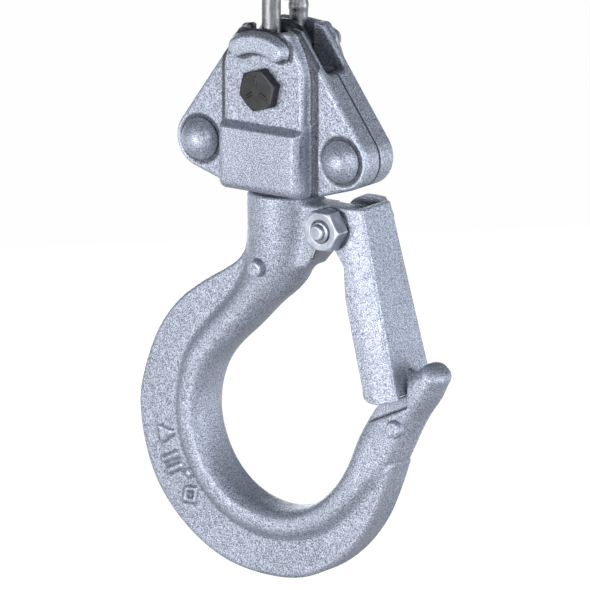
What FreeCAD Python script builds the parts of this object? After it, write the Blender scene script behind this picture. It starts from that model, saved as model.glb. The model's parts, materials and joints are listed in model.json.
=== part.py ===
"""Hook block for a 5 mm load chain: riveted yoke, swivelling forged hook, sprung latch.

Units are millimetres, +X is towards the hook's throat side, +Y to the rear, +Z up. The pieces are
modelled about the centre of the chain bolt and moved down at export, so that the row's origin is
the bearing point of the top chain link.
"""

import os
from math import cos, pi, radians, sin

import FreeCAD
import Part

V = FreeCAD.Vector
X, Y, Z = V(1, 0, 0), V(0, 1, 0), V(0, 0, 1)

# Load chain, 5 x 15
WIRE_R = 2.5
LINK_INSIDE = 15.0
LINK_CROWN_R = 6.0
LINK_PLAY = 0.05

# Chain bolt, M6
BOLT_R = 2.95
BOLT_HOLE_R = 3.1
HEX_AF = 10.0
BOLT_HEAD_T = 3.3
BOLT_TURN = 13.0

# Yoke halves
WING_Y = 6.5
PANEL_Y = 9.8
PANEL_X = 12.7
BOSS_X = 13.0
BOSS_Y = 12.7
BOSS_TOP = -9.9
YOKE_TOP = 15.6
YOKE_BOTTOM = -27.8
RIVET_X, RIVET_Z = 22.6, -16.9
CORNER_R = 8.0
SLANT = V(0.582, 0, -0.813)
UNDERSLOPE = radians(17)
SLOT_Y = 4.2
SLOT_FLOOR = 4.6
SWING_R = 12.0
POCKET_X, POCKET_Y = 6.0, 9.0
POCKET_FLOOR = 5.4
CAVITY_R = 9.5
SEAT_Z = -23.0
CAVITY_TOP = -9.6
RIVET_SHANK_R = 3.2
RIVET_HEAD_R, RIVET_HEAD_H = 5.75, 4.5

# Swivel bearing
NECK_R = 5.0
NECK_HOLE_R = 5.5
RACE_R = 9.2
RACE_T = 2.0
BALL_R = 1.5
BALL_PLANE = -20.0
BALL_PITCH_R = 7.2
BALLS = 11
GROOVE_R = 1.55
CAGE_T = 1.2
HOOK_NUT_AF = 15.4
HOOK_NUT_TOP = -10.6
PIN_R = 1.0

# Hook
SHANK_TOP = -28.8
FLANGE_Y = 4.8
GAUGE_R = 2.2
MARK_PROUD = 0.7

# Latch
PIVOT = V(20.7, 0, -34.5)
LATCH_Y = 8.2
FLARE = 0.038
SHEET = 1.8
LUG_Y = 2.7
LUG_ROOT_Y = 5.0
LUG_R = 4.4
BUSH_R = 3.3
LATCH_BOLT_R = 2.9
LATCH_NUT_T = 4.7
FOOT_GAP = 0.5
SPRING_WIRE_R = 0.5
SPRING_COIL_R = 4.0
SPRING_PITCH = 1.02
SPRING_PLAY = 0.2


def at(x, z, y=0.0):
    return V(x, y, z)


def cylinder(radius, y0, y1, centre=V(0, 0, 0)):
    return Part.makeCylinder(radius, y1 - y0, V(centre.x, y0, centre.z), Y)


def box(x0, x1, y0, y1, z0, z1):
    return Part.makeBox(x1 - x0, y1 - y0, z1 - z0, V(x0, y0, z0))


def polygon(points):
    return Part.makePolygon([*points, points[0]])


def slab(wire, y0, y1):
    """The closed XZ wire, extruded from y0 to y1."""
    face = Part.Face(wire)
    face.translate(V(0, y0, 0))
    return face.extrude(V(0, y1 - y0, 0))


def spline(points):
    curve = Part.BSplineCurve()
    curve.interpolate(points)
    return curve.toShape()


def hexagon(across_flats, y0, y1, centre, turn):
    """A hexagonal prism along Y, chamfered by a cone at the end that faces away from y=0."""
    corner = across_flats / 2 / cos(pi / 6)
    ring = [at(corner * sin(radians(turn) + k * pi / 3), corner * cos(radians(turn) + k * pi / 3))
            for k in range(6)]
    prism = slab(polygon(ring), y0, y1)
    outer, way = (y0, 1) if abs(y0) > abs(y1) else (y1, -1)
    cone = Part.makeCone(corner * 0.9, corner * 0.9 + 20, 10, V(0, outer, 0), V(0, way, 0))
    prism = prism.common(cone)
    prism.translate(centre)
    return prism


def edges_where(shape, test):
    return [e for e in shape.Edges if test(e)]


def along(edge, direction):
    if not isinstance(edge.Curve, (Part.Line, Part.LineSegment)):
        return False
    run = edge.Vertexes[-1].Point - edge.Vertexes[0].Point
    return run.cross(direction).Length < 1e-4 * run.Length


# ---------------------------------------------------------------- load chain

def chain_link(centre_z, across):
    """One round-wire link, its width along the given axis."""
    half_leg = LINK_INSIDE / 2 - (LINK_CROWN_R - WIRE_R)
    normal = across.cross(Z)
    crown = Part.makeTorus(LINK_CROWN_R, WIRE_R, V(0, 0, 0), normal)
    reach = 2 * (LINK_CROWN_R + WIRE_R)
    upper = Part.makeBox(reach, reach, reach, V(-reach / 2, -reach / 2, 0))
    top = crown.common(upper)
    bottom = crown.cut(upper)
    top.translate(V(0, 0, half_leg))
    bottom.translate(V(0, 0, -half_leg))
    link = top.fuse(bottom)
    for side in (-1, 1):
        foot = across * (side * LINK_CROWN_R) + V(0, 0, -half_leg)
        link = link.fuse(Part.makeCylinder(WIRE_R, 2 * half_leg, foot, Z))
    link = link.removeSplitter()
    link.translate(V(0, 0, centre_z))
    return link


LINK_PITCH = LINK_INSIDE - LINK_PLAY
END_LINK_Z = LINK_INSIDE / 2 - BOLT_R - LINK_PLAY
SUSPENSION_Z = END_LINK_Z + 2 * LINK_PITCH + LINK_INSIDE / 2


def chain_links():
    return {
        "end_link": chain_link(END_LINK_Z, X),
        "chain_link_2": chain_link(END_LINK_Z + LINK_PITCH, Y),
        "chain_link_3": chain_link(END_LINK_Z + 2 * LINK_PITCH, X),
    }


# ---------------------------------------------------------------- yoke

def wing_outline():
    """Outline of a yoke half: flat top, slanted flanks, a corner round each rivet, sloped foot."""
    flank = V(-SLANT.z, 0, SLANT.x)
    foot = V(sin(UNDERSLOPE), 0, -cos(UNDERSLOPE))
    rivet = at(RIVET_X, RIVET_Z)
    low, mid = rivet + foot * CORNER_R, rivet + (flank + foot).normalize() * CORNER_R
    high = rivet + flank * CORNER_R
    top = high - SLANT * ((YOKE_TOP - high.z) / -SLANT.z)
    inward = V(-cos(UNDERSLOPE), 0, -sin(UNDERSLOPE))
    base = low + inward * ((low.z - YOKE_BOTTOM) / sin(UNDERSLOPE))

    def left(p):
        return V(-p.x, 0, p.z)

    return Part.Wire([
        Part.makeLine(left(top), top),
        Part.makeLine(top, high),
        Part.Arc(high, mid, low).toShape(),
        Part.makeLine(low, base),
        Part.makeLine(base, left(base)),
        Part.makeLine(left(base), left(low)),
        Part.Arc(left(low), left(mid), left(high)).toShape(),
        Part.makeLine(left(high), left(top)),
    ])


def eyebrow():
    """The arched rib that shields the bolt head: an arc-shaped bar with round ends."""
    bend_r, half_angle, half_width, crown_z = 20.0, radians(20), 2.3, 12.0
    face_y = -BOSS_Y
    centre = at(0.2, crown_z - bend_r)

    def on_arc(radius, angle):
        return centre + at(radius * sin(angle), radius * cos(angle))

    def arc(radius):
        ends = [on_arc(radius, side * half_angle) for side in (-1, 1)]
        return Part.Arc(ends[0], on_arc(radius, 0), ends[1]).toShape()

    def end(side):
        tip = on_arc(bend_r, side * half_angle)
        outward = at(side * cos(half_angle), -sin(half_angle))
        inner, outer = (on_arc(bend_r + way * half_width, side * half_angle) for way in (-1, 1))
        return Part.Arc(inner, tip + outward * half_width, outer).toShape()

    outline = Part.Wire(Part.__sortEdges__([
        arc(bend_r - half_width), end(1), arc(bend_r + half_width), end(-1)]))
    rib = slab(outline, face_y, -PANEL_Y + 2)
    front = edges_where(rib, lambda e: e.BoundBox.YMax < face_y + 0.1)
    return rib.makeFillet(0.9, front)


def yoke_front():
    wing = slab(wing_outline(), -WING_Y, 0)
    rim = edges_where(wing, lambda e: e.BoundBox.YMax < -WING_Y + 0.01 and e.BoundBox.ZMin > -25.5)
    wing = wing.makeFillet(1.6, rim)

    shoulder = 3.6
    panel_head, panel_waist = 7.0, 6.6
    panel = slab(polygon([
        at(-PANEL_X, YOKE_BOTTOM), at(-PANEL_X, panel_waist), at(-panel_head, YOKE_TOP),
        at(panel_head, YOKE_TOP), at(PANEL_X, panel_waist), at(PANEL_X, YOKE_BOTTOM),
    ]), -PANEL_Y, -1)
    face_edges = edges_where(panel, lambda e: e.BoundBox.YMax < -PANEL_Y + 0.01
                             and e.BoundBox.ZMax > YOKE_BOTTOM + 1)
    panel = panel.makeFillet(1.3, face_edges)

    bevel = BOSS_Y - PANEL_Y
    profile = Part.makePolygon([
        V(-BOSS_X, 0, YOKE_BOTTOM), V(-BOSS_X, -BOSS_Y + 1.8, YOKE_BOTTOM),
        V(-BOSS_X, -BOSS_Y, YOKE_BOTTOM + shoulder / 2), V(-BOSS_X, -BOSS_Y, BOSS_TOP - bevel / 2),
        V(-BOSS_X, -PANEL_Y, BOSS_TOP), V(-BOSS_X, 0, BOSS_TOP), V(-BOSS_X, 0, YOKE_BOTTOM),
    ])
    boss = Part.Face(profile).extrude(V(2 * BOSS_X, 0, 0))
    upright = edges_where(boss, lambda e: along(e, Z) and e.BoundBox.YMax < -BOSS_Y + 0.1)
    boss = boss.makeFillet(2.0, upright)

    half = wing.fuse([panel, boss, eyebrow()]).removeSplitter()

    slot = slab(polygon([
        at(-11.6, -4.6), at(-12.6, 1.0), at(-14.6, SLOT_FLOOR), at(-24.0, SLOT_FLOOR), at(-24.0, 30.0),
        at(24.0, 30.0), at(24.0, SLOT_FLOOR), at(14.6, SLOT_FLOOR), at(12.6, 1.0), at(11.6, -4.6),
    ]), -SLOT_Y, 1)
    swing = cylinder(SWING_R, -SLOT_Y, 1)
    swing = swing.common(box(-SWING_R, SWING_R, -SLOT_Y, 1, CAVITY_TOP, SWING_R))
    pocket = box(-POCKET_X, POCKET_X, -POCKET_Y, 1, POCKET_FLOOR, 30)
    pocket = pocket.makeFillet(2.4, edges_where(
        pocket, lambda e: e.BoundBox.YMax < -POCKET_Y + 0.01 and e.BoundBox.ZMin < 29))
    cavity = Part.makeCylinder(CAVITY_R, CAVITY_TOP - SEAT_Z, V(0, 0, SEAT_Z))
    neck_hole = Part.makeCylinder(NECK_HOLE_R, 10, V(0, 0, YOKE_BOTTOM - 1))
    bolt_hole = cylinder(BOLT_HOLE_R, -30, 1)
    half = half.cut([slot, swing, pocket, cavity, neck_hole, bolt_hole])
    for side in (-1, 1):
        half = half.cut(cylinder(RIVET_SHANK_R + 0.05, -30, 1, at(side * RIVET_X, RIVET_Z)))
        ring = cylinder(RIVET_HEAD_R + 0.9, -WING_Y - 0.1, -WING_Y + 0.35, at(side * RIVET_X, RIVET_Z))
        keep = box(-BOSS_X, BOSS_X, -30, 1, YOKE_BOTTOM, YOKE_TOP)
        half = half.cut(ring.cut(keep))
    return half


def rivet(x):
    shank = cylinder(RIVET_SHANK_R, -WING_Y + 0.35, WING_Y - 0.35, at(x, RIVET_Z))
    dome_r = (RIVET_HEAD_R ** 2 + RIVET_HEAD_H ** 2) / (2 * RIVET_HEAD_H)
    solid = shank
    for side in (-1, 1):
        seat = side * (WING_Y - 0.35)
        ball = Part.makeSphere(dome_r, V(x, seat + side * (RIVET_HEAD_H - dome_r), RIVET_Z))
        y0, y1 = sorted((seat, seat + side * 2 * dome_r))
        solid = solid.fuse(ball.common(box(x - 9, x + 9, y0, y1, RIVET_Z - 9, RIVET_Z + 9)))
    return solid.removeSplitter()


def yoke():
    front = yoke_front()
    rear = front.copy()
    rear.rotate(V(0, 0, 0), Z, 180)
    return {"yoke_front": front, "yoke_rear": rear,
            "rivet_left": rivet(-RIVET_X), "rivet_right": rivet(RIVET_X)}


# ---------------------------------------------------------------- chain bolt

def chain_bolt():
    pin = V(0, 0, 0)
    head = hexagon(HEX_AF, -PANEL_Y - BOLT_HEAD_T, -PANEL_Y, pin, BOLT_TURN)
    shank = cylinder(BOLT_R, -PANEL_Y, PANEL_Y + 6.6)
    shank = shank.makeChamfer(0.7, edges_where(shank, lambda e: e.BoundBox.YMin > PANEL_Y + 6))
    washer_t = 1.0
    washer = cylinder(5.2, PANEL_Y, PANEL_Y + washer_t).cut(cylinder(BOLT_R + 0.1, 0, 30))
    nut = hexagon(HEX_AF, PANEL_Y + washer_t, PANEL_Y + washer_t + 4.6, pin, 10)
    nut = nut.cut(cylinder(BOLT_R + 0.02, 0, 30))
    return {"chain_bolt": head.fuse(shank).removeSplitter(), "chain_bolt_washer": washer,
            "chain_bolt_nut": nut}


# ---------------------------------------------------------------- swivel bearing

def bearing():
    groove = Part.makeTorus(BALL_PITCH_R, GROOVE_R, V(0, 0, BALL_PLANE), Z)
    lower = Part.makeCylinder(RACE_R, RACE_T, V(0, 0, SEAT_Z))
    lower = lower.cut([Part.makeCylinder(NECK_HOLE_R, 9, V(0, 0, SEAT_Z - 1)), groove])
    upper_z = 2 * BALL_PLANE - SEAT_Z - RACE_T
    upper = Part.makeCylinder(RACE_R - 0.3, RACE_T, V(0, 0, upper_z))
    upper = upper.cut([Part.makeCylinder(NECK_R + 0.05, 9, V(0, 0, upper_z - 1)), groove])
    cage = Part.makeCylinder(RACE_R - 0.5, CAGE_T, V(0, 0, BALL_PLANE - CAGE_T / 2))
    cage = cage.cut(Part.makeCylinder(NECK_R + 0.5, 9, V(0, 0, BALL_PLANE - 4)))
    balls = []
    for k in range(BALLS):
        angle = 2 * pi * k / BALLS
        centre = V(BALL_PITCH_R * cos(angle), BALL_PITCH_R * sin(angle), BALL_PLANE)
        balls.append(Part.makeSphere(BALL_R, centre))
        cage = cage.cut(Part.makeCylinder(BALL_R + 0.08, 9, centre - Z * 4))
    return {"race_lower": lower, "race_upper": upper, "ball_cage": cage,
            "bearing_balls": Part.makeCompound(balls)}


def hook_nut():
    seat = 2 * BALL_PLANE - SEAT_Z
    nut = hexagon(HOOK_NUT_AF, 0, HOOK_NUT_TOP - seat, V(0, 0, 0), 0)
    nut.rotate(V(0, 0, 0), X, 90)
    nut.translate(V(0, 0, seat))
    nut = nut.cut(Part.makeCylinder(NECK_R + 0.03, 30, V(0, 0, seat - 1)))
    return nut.cut(lock_pin(0.03))


def lock_pin(clearance=0.0):
    half = 7.5 if clearance == 0 else 20
    middle = (2 * BALL_PLANE - SEAT_Z + HOOK_NUT_TOP) / 2
    return Part.makeCylinder(PIN_R + clearance, 2 * half, V(0, -half, middle), Y)


# ---------------------------------------------------------------- hook

# Stations down the hook's round rib, each the edge on the throat side, the edge on the flange
# side, and half its thickness front to back.
RIB = [
    ((9.2, -28.8), (-9.2, -28.8), 9.2),
    ((9.9, -29.6), (-9.9, -29.6), 9.9),
    ((9.9, -35.0), (-9.9, -35.0), 9.7),
    ((9.4, -42.0), (-10.0, -40.5), 9.2),
    ((7.2, -49.6), (-10.4, -46.8), 8.7),
    ((2.6, -54.8), (-10.6, -50.6), 8.1),
    ((-3.3, -60.5), (-12.0, -54.8), 7.8),
    ((-9.4, -66.7), (-17.3, -61.2), 7.5),
    ((-16.4, -73.0), (-23.6, -68.2), 7.3),
    ((-21.2, -79.4), (-28.6, -75.4), 7.2),
    ((-23.8, -87.5), (-31.3, -86.4), 7.2),
    ((-23.3, -96.0), (-30.6, -98.2), 7.2),
    ((-19.0, -105.0), (-24.8, -110.0), 7.2),
    ((-11.0, -111.6), (-14.4, -118.6), 7.2),
    ((0.0, -114.0), (0.6, -121.8), 7.2),
    ((10.8, -111.3), (14.8, -118.2), 7.1),
    ((18.6, -105.1), (25.2, -110.4), 6.9),
    ((22.8, -98.5), (32.2, -102.4), 6.5),
    ((25.2, -91.9), (38.2, -95.6), 5.9),
    ((29.2, -85.6), (42.0, -87.8), 5.6),
    ((34.0, -79.7), (45.6, -81.0), 5.5),
    ((39.4, -74.0), (49.9, -75.6), 5.3),
    ((42.5, -70.9), (52.0, -73.0), 4.9),
    ((44.9, -68.9), (52.4, -71.2), 4.0),
    ((46.6, -68.2), (51.6, -69.6), 2.4),
]

# The flange's outer edge, from the shank round the bowl to the tip.
OUTER = [
    (-8.2, -35.0), (-10.6, -42.0), (-13.6, -48.6), (-24.2, -55.5), (-32.0, -61.6), (-38.5, -70.7),
    (-42.9, -82.9), (-44.0, -92.1), (-41.6, -104.1), (-36.4, -114.2), (-27.1, -123.5),
    (-15.2, -129.9), (-0.9, -132.0), (11.1, -130.2), (21.9, -123.6), (30.0, -114.2),
    (34.6, -104.7), (37.5, -96.6),
]


def rib_section(inner, outer, half):
    """A closed section with flattened sides, in the plane through both edges and +Y."""
    inner, outer = at(*inner), at(*outer)
    centre, reach = (inner + outer) / 2, (inner - outer) / 2
    steps = 16
    points = []
    for k in range(steps):
        c, s = cos(2 * pi * k / steps), sin(2 * pi * k / steps)
        fullness = (abs(c) ** 2.6 + abs(s) ** 2.6) ** (-1 / 2.6) if abs(reach.x) < 8.6 else 1.0
        points.append(centre + reach * (c * fullness) + V(0, half * s * fullness, 0))
    curve = Part.BSplineCurve()
    curve.interpolate(points, PeriodicFlag=True)
    return Part.Wire(curve.toShape())


def hook_rib():
    return Part.makeLoft([rib_section(*station) for station in RIB], True, False)


def hook_flange():
    outer = spline([at(*p) for p in OUTER])
    middles = [((a[0] + 2 * b[0]) / 3, (a[1] + 2 * b[1]) / 3) for a, b, _ in RIB[2:19]]
    inner = spline([at(*p) for p in reversed(middles)])
    first, last = at(*OUTER[0]), at(*OUTER[-1])
    outline = Part.Wire([
        outer, Part.makeLine(last, at(*middles[-1])), inner, Part.makeLine(at(*middles[0]), first),
    ])
    plate = slab(outline, -FLANGE_Y, FLANGE_Y)
    rim = edges_where(plate, lambda e: isinstance(e.Curve, Part.BSplineCurve)
                      and e.Length > outer.Length * 0.98)
    return plate.makeFillet(1.4, rim)


def latch_lug():
    """The ear on the shank that carries the latch bolt, thinned at its end for the spring."""
    root = slab(polygon([
        at(2.0, -30.3), at(14.6, -30.3), at(16.6, -34.0), at(15.8, -40.6), at(10.0, -47.4),
        at(0.0, -51.0),
    ]), -LUG_ROOT_Y, LUG_ROOT_Y)
    root = root.makeFillet(1.2, edges_where(root, lambda e: not along(e, Y)))
    ear = cylinder(LUG_R, -LUG_Y, LUG_Y, PIVOT)
    web = slab(polygon([
        at(10.0, -30.1), at(PIVOT.x, PIVOT.z + LUG_R), at(PIVOT.x, PIVOT.z - LUG_R), at(10.0, -44.0),
    ]), -LUG_Y, LUG_Y)
    coils = [cylinder(SPRING_COIL_R + SPRING_WIRE_R + 0.45, y, y + 4, PIVOT) for y in (-6.7, LUG_Y)]
    return root.cut(coils).fuse([ear, web])


def capacity_marks():
    """Plain raised marks on the flange: a triangle, two bars, a pip and a lozenge."""
    marks = []

    def raise_mark(x, z, corners):
        """corners are (towards the bowl's centre, along the flange) from the mark's middle."""
        middle = at(x, z)
        inward = (at(-1.0, -90.5) - middle).normalize()
        sideways = inward.cross(Y)
        ring = polygon([middle + inward * a + sideways * b for a, b in corners])
        marks.append(slab(ring, -FLANGE_Y - MARK_PROUD, -FLANGE_Y + MARK_PROUD))

    raise_mark(-34.9, -98.4, ((3.0, 0.0), (-2.4, 2.6), (-2.4, -2.6)))
    for offset in (-1.6, 1.6):
        raise_mark(-32.9, -106.1, ((3.0, offset - 0.7), (3.0, offset + 0.7),
                                   (-3.0, offset + 0.7), (-3.0, offset - 0.7)))
    raise_mark(-27.1, -114.0, ((3.4, 0.0), (0.0, 2.6), (-3.4, 0.0), (0.0, -2.6)))
    marks.append(cylinder(1.0, -FLANGE_Y - MARK_PROUD, -FLANGE_Y + MARK_PROUD, at(-27.8, -108.3)))
    return marks


LEDGE = (at(28.0, -83.4), at(34.6, -79.8), at(41.9, -76.75))


def hook_tip(rib):
    """The rib's end with the ledge the latch shuts against and the thinned nib below it."""
    ledge = slab(polygon([at(28.0, -60.0), *LEDGE, at(LEDGE[-1].x, -60.0)]), -9, 9)
    rib = rib.cut(ledge)
    for side in (-1, 1):
        y0, y1 = sorted((side * 4.3, side * 9))
        rib = rib.cut(slab(polygon([
            at(28.0, -86.9), at(42.8, -80.0), at(42.8, -70.0), at(28.0, -70.0),
        ]), y0, y1))
    return rib


def hook_body():
    root = 6.0
    neck = Part.makeCylinder(NECK_R, HOOK_NUT_TOP + 0.5 - SHANK_TOP + root, V(0, 0, SHANK_TOP - root))
    shank_gauge = cylinder(GAUGE_R, -10.4, -6.0, at(-2.4, -48.2))
    tip_gauge = cylinder(GAUGE_R, -6.9, -3.0, at(39.4, -85.9))
    body = hook_tip(hook_rib())
    for piece in (neck, latch_lug(), hook_flange(), shank_gauge, tip_gauge, *capacity_marks()):
        body = body.fuse(piece)
    return body.cut(cylinder(BUSH_R + 0.03, -9, 9, PIVOT)).cut(lock_pin(0.03))


# ---------------------------------------------------------------- latch

WEB_TOP, WEB_FOOT = at(29.5, -29.8), at(42.0, -78.2)


def between_cheeks(inset):
    """The space between the latch's flaring sides, moved in by inset."""
    top, foot = -20.0, -90.0
    low, high = (LATCH_Y + FLARE * (PIVOT.z - z) - inset for z in (foot, top))
    side = Part.makePolygon([V(0, -high, top), V(0, -low, foot), V(0, low, foot), V(0, high, top),
                             V(0, -high, top)])
    return Part.Face(side).extrude(V(60, 0, 0))


def cheek_outline():
    """The latch seen from the front."""
    reach = 5.6
    corner = at(WEB_TOP.x - 1.5, PIVOT.z + reach)
    heel, toe = at(36.4, -79.2), at(31.8, -75.8)
    throat = [toe, at(28.4, -63.3), at(25.6, -52.5), at(24.8, -44.0),
              at(PIVOT.x + 1.0, PIVOT.z - reach), at(PIVOT.x, PIVOT.z - reach)]
    return Part.Wire([
        Part.makeLine(at(PIVOT.x, PIVOT.z + reach), corner),
        Part.makeLine(corner, WEB_TOP),
        Part.makeLine(WEB_TOP, WEB_FOOT),
        Part.makeLine(WEB_FOOT, heel),
        Part.Arc(heel, at(33.0, -78.6), toe).toShape(),
        *[Part.makeLine(p, q) for p, q in zip(throat, throat[1:])],
        Part.Arc(throat[-1], at(PIVOT.x - reach, PIVOT.z), at(PIVOT.x, PIVOT.z + reach)).toShape(),
    ])


def latch():
    half = 12.0
    outside = slab(cheek_outline(), -half, half).common(between_cheeks(0))
    web_length = (WEB_FOOT - WEB_TOP).Length
    bends = edges_where(outside, lambda e: abs(e.Length - web_length) < 0.2)
    outside = outside.makeFillet(2.8, bends)
    run = (WEB_FOOT - WEB_TOP).normalize()
    shift = V(run.z, 0, -run.x) * SHEET
    top, foot = WEB_TOP + shift - run * 12, WEB_FOOT + shift + run * 12
    inside = slab(polygon([top, foot, at(0, foot.z), at(0, top.z)]), -half, half)
    inside = inside.common(between_cheeks(SHEET))
    inside_bends = edges_where(inside, lambda e: e.BoundBox.XMax > WEB_FOOT.x - 1.0
                               and e.BoundBox.ZLength > 50 and e.BoundBox.XLength > 5)
    channel = outside.cut(inside.makeFillet(1.0, inside_bends))
    notch = slab(polygon([at(31, -72.6), at(45, -72.6), at(45, -85), at(31, -85)]), -1.8, 1.8)
    notch = notch.fuse(Part.makeCylinder(1.8, 14, V(31, 0, -72.6), X))
    relief_y = 6.4
    rest = [p + Z * FOOT_GAP for p in LEDGE[1:]]
    rest.append(rest[-1] + X * 1.5)
    foot_relief = slab(polygon([at(rest[0].x, -90), *rest, at(rest[-1].x, -90)]),
                       -relief_y, relief_y)
    hole = cylinder(LATCH_BOLT_R + 0.06, -20, 20, PIVOT)
    return channel.cut([notch, foot_relief, hole])


def latch_fixings():
    thread_end = cylinder(LATCH_BOLT_R - 0.9, -LATCH_Y - 0.3 - LATCH_NUT_T - 2.0, -10, PIVOT)
    thread_end = thread_end.makeChamfer(0.4, edges_where(
        thread_end, lambda e: e.BoundBox.YMax < -LATCH_Y - LATCH_NUT_T - 2))
    shank = cylinder(LATCH_BOLT_R, -LATCH_Y - 0.3 - LATCH_NUT_T - 0.6, LATCH_Y + 0.3, PIVOT)
    head = hexagon(HEX_AF, LATCH_Y + 0.3, LATCH_Y + 0.3 + BOLT_HEAD_T, PIVOT, 30)
    nut = hexagon(HEX_AF, -LATCH_Y - 0.3 - LATCH_NUT_T, -LATCH_Y - 0.3, PIVOT, 30)
    nut = nut.cut(cylinder(LATCH_BOLT_R + 0.02, -30, 30, PIVOT))
    bush = cylinder(BUSH_R, -5.6, 5.6, PIVOT).cut(cylinder(LATCH_BOLT_R + 0.02, -30, 30, PIVOT))
    return {"latch_bolt": shank.fuse([thread_end, head]).removeSplitter(), "latch_nut": nut,
            "latch_bush": bush}


def spring_half(side):
    """One coil pack of the double torsion spring, a leg to the latch and a leg to the shank."""
    turns = 2.25
    start = 250.0
    inner_y = LUG_Y + SPRING_PLAY + SPRING_WIRE_R
    helix = Part.makeHelix(SPRING_PITCH, SPRING_PITCH * turns, SPRING_COIL_R)
    helix.rotate(V(0, 0, 0), X, -90)
    helix.rotate(V(0, 0, 0), Y, -start)
    helix.translate(PIVOT + V(0, inner_y, 0))
    path = Part.Wire(helix.Edges)
    first = path.OrderedVertexes[0].Point
    tangent = path.OrderedEdges[0].tangentAt(path.OrderedEdges[0].FirstParameter)
    ring = Part.Wire(Part.makeCircle(SPRING_WIRE_R, first, tangent))
    coil = path.makePipeShell([ring], True, True)
    last = path.OrderedVertexes[-1].Point
    leg_ends = [(first, PIVOT + V(9.0 - 2.4, first.y, -14.0)), (last, at(13.1, -43.9, last.y))]
    parts = [coil]
    for root, tip in leg_ends:
        run = tip - root
        parts.append(Part.makeCylinder(SPRING_WIRE_R, run.Length, root, run))
        parts.append(Part.makeSphere(SPRING_WIRE_R, root))
        parts.append(Part.makeSphere(SPRING_WIRE_R, tip))
    solid = parts[0].fuse(parts[1:])
    return solid if side > 0 else solid.mirror(V(0, 0, 0), Y)


# ---------------------------------------------------------------- export

def nodes():
    hook = {"hook_body": hook_body(), "hook_nut": hook_nut(), "hook_nut_pin": lock_pin()}
    safety = {"latch": latch(), **latch_fixings(),
              "latch_spring_front": spring_half(-1), "latch_spring_rear": spring_half(1)}
    return {**chain_links(), **yoke(), **chain_bolt(), **bearing(), **hook, **safety}


def main():
    os.makedirs("parts", exist_ok=True)
    for name, shape in nodes().items():
        shape.translate(V(0, 0, -SUSPENSION_Z))
        box_mm = shape.BoundBox
        print(f"{name}: solids {len(shape.Solids)}, valid {shape.isValid()}, "
              f"volume {shape.Volume:.0f}, z {box_mm.ZMin:.1f} to {box_mm.ZMax:.1f}")
        shape.exportStep(f"parts/{name}.step")


main()
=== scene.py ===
"""Looks for the crane hook block: its outer pieces are meshed from signed distance fields.

The bearing, hook nut, bush and springs keep their CAD shape and only get a material here.
The fields are written in millimetres about the centre of the chain bolt, +X to the throat, +Y to
the rear, +Z up. mesh_piece() turns a field into a mesh, in metres, in the row frame.
"""

import json
from math import cos, pi, radians, sin

import bpy
import numpy as np
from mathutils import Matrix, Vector


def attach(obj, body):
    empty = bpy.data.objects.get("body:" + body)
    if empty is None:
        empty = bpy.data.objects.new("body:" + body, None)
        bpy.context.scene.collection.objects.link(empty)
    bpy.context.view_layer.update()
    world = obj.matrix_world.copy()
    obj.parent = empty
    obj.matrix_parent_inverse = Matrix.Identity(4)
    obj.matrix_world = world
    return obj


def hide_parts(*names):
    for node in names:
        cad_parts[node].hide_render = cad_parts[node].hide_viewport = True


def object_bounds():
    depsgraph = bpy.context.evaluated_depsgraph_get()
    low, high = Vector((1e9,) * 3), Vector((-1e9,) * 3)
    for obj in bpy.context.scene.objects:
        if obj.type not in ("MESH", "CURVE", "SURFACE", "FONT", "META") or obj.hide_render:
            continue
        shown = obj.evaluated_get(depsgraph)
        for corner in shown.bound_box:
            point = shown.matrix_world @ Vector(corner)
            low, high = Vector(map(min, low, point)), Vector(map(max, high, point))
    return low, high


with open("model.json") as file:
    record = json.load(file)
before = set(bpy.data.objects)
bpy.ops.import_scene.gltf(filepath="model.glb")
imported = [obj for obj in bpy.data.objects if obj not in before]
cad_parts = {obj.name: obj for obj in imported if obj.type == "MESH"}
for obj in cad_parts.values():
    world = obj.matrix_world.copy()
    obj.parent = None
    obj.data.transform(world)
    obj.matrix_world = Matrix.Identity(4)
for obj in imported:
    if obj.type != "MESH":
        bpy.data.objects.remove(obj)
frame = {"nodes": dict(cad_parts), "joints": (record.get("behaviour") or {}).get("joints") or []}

cad_low, cad_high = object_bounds()

MM = 0.001
JOINTS = {joint["name"]: joint for joint in frame["joints"]}
PIN = Vector(JOINTS["yoke_swing"]["pos_m"])
PIVOT = (Vector(JOINTS["latch_swing"]["pos_m"]) - PIN) / MM
DETAIL = 1.0
# RELIEF_REACH is how far the relief looks round each point; the other two set how deep and how wide the
# painted shade along joints is.
RELIEF_REACH, PAINTED_SHADE_DEPTH, PAINTED_SHADE_WIDTH = 0.7, 0.35, 0.45


# ---------------------------------------------------------------- distance fields

def length(*parts):
    """Length of a vector given as separate arrays."""
    return np.sqrt(sum(p * p for p in parts))


def both(a, b, radius=0.0):
    """Intersection, its edge rounded to the radius."""
    if radius == 0.0:
        return np.maximum(a, b)
    corner = length(np.maximum(a + radius, 0), np.maximum(b + radius, 0)) - radius
    return np.where((a > -radius) & (b > -radius), corner, np.maximum(a, b))


def either(a, b, radius=0.0):
    """Union, with a fillet of the radius where the two meet."""
    return -both(-a, -b, radius)


def less(a, b, radius=0.0):
    """a with b cut away, the cut's edge rounded."""
    return both(a, -b, radius)


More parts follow.
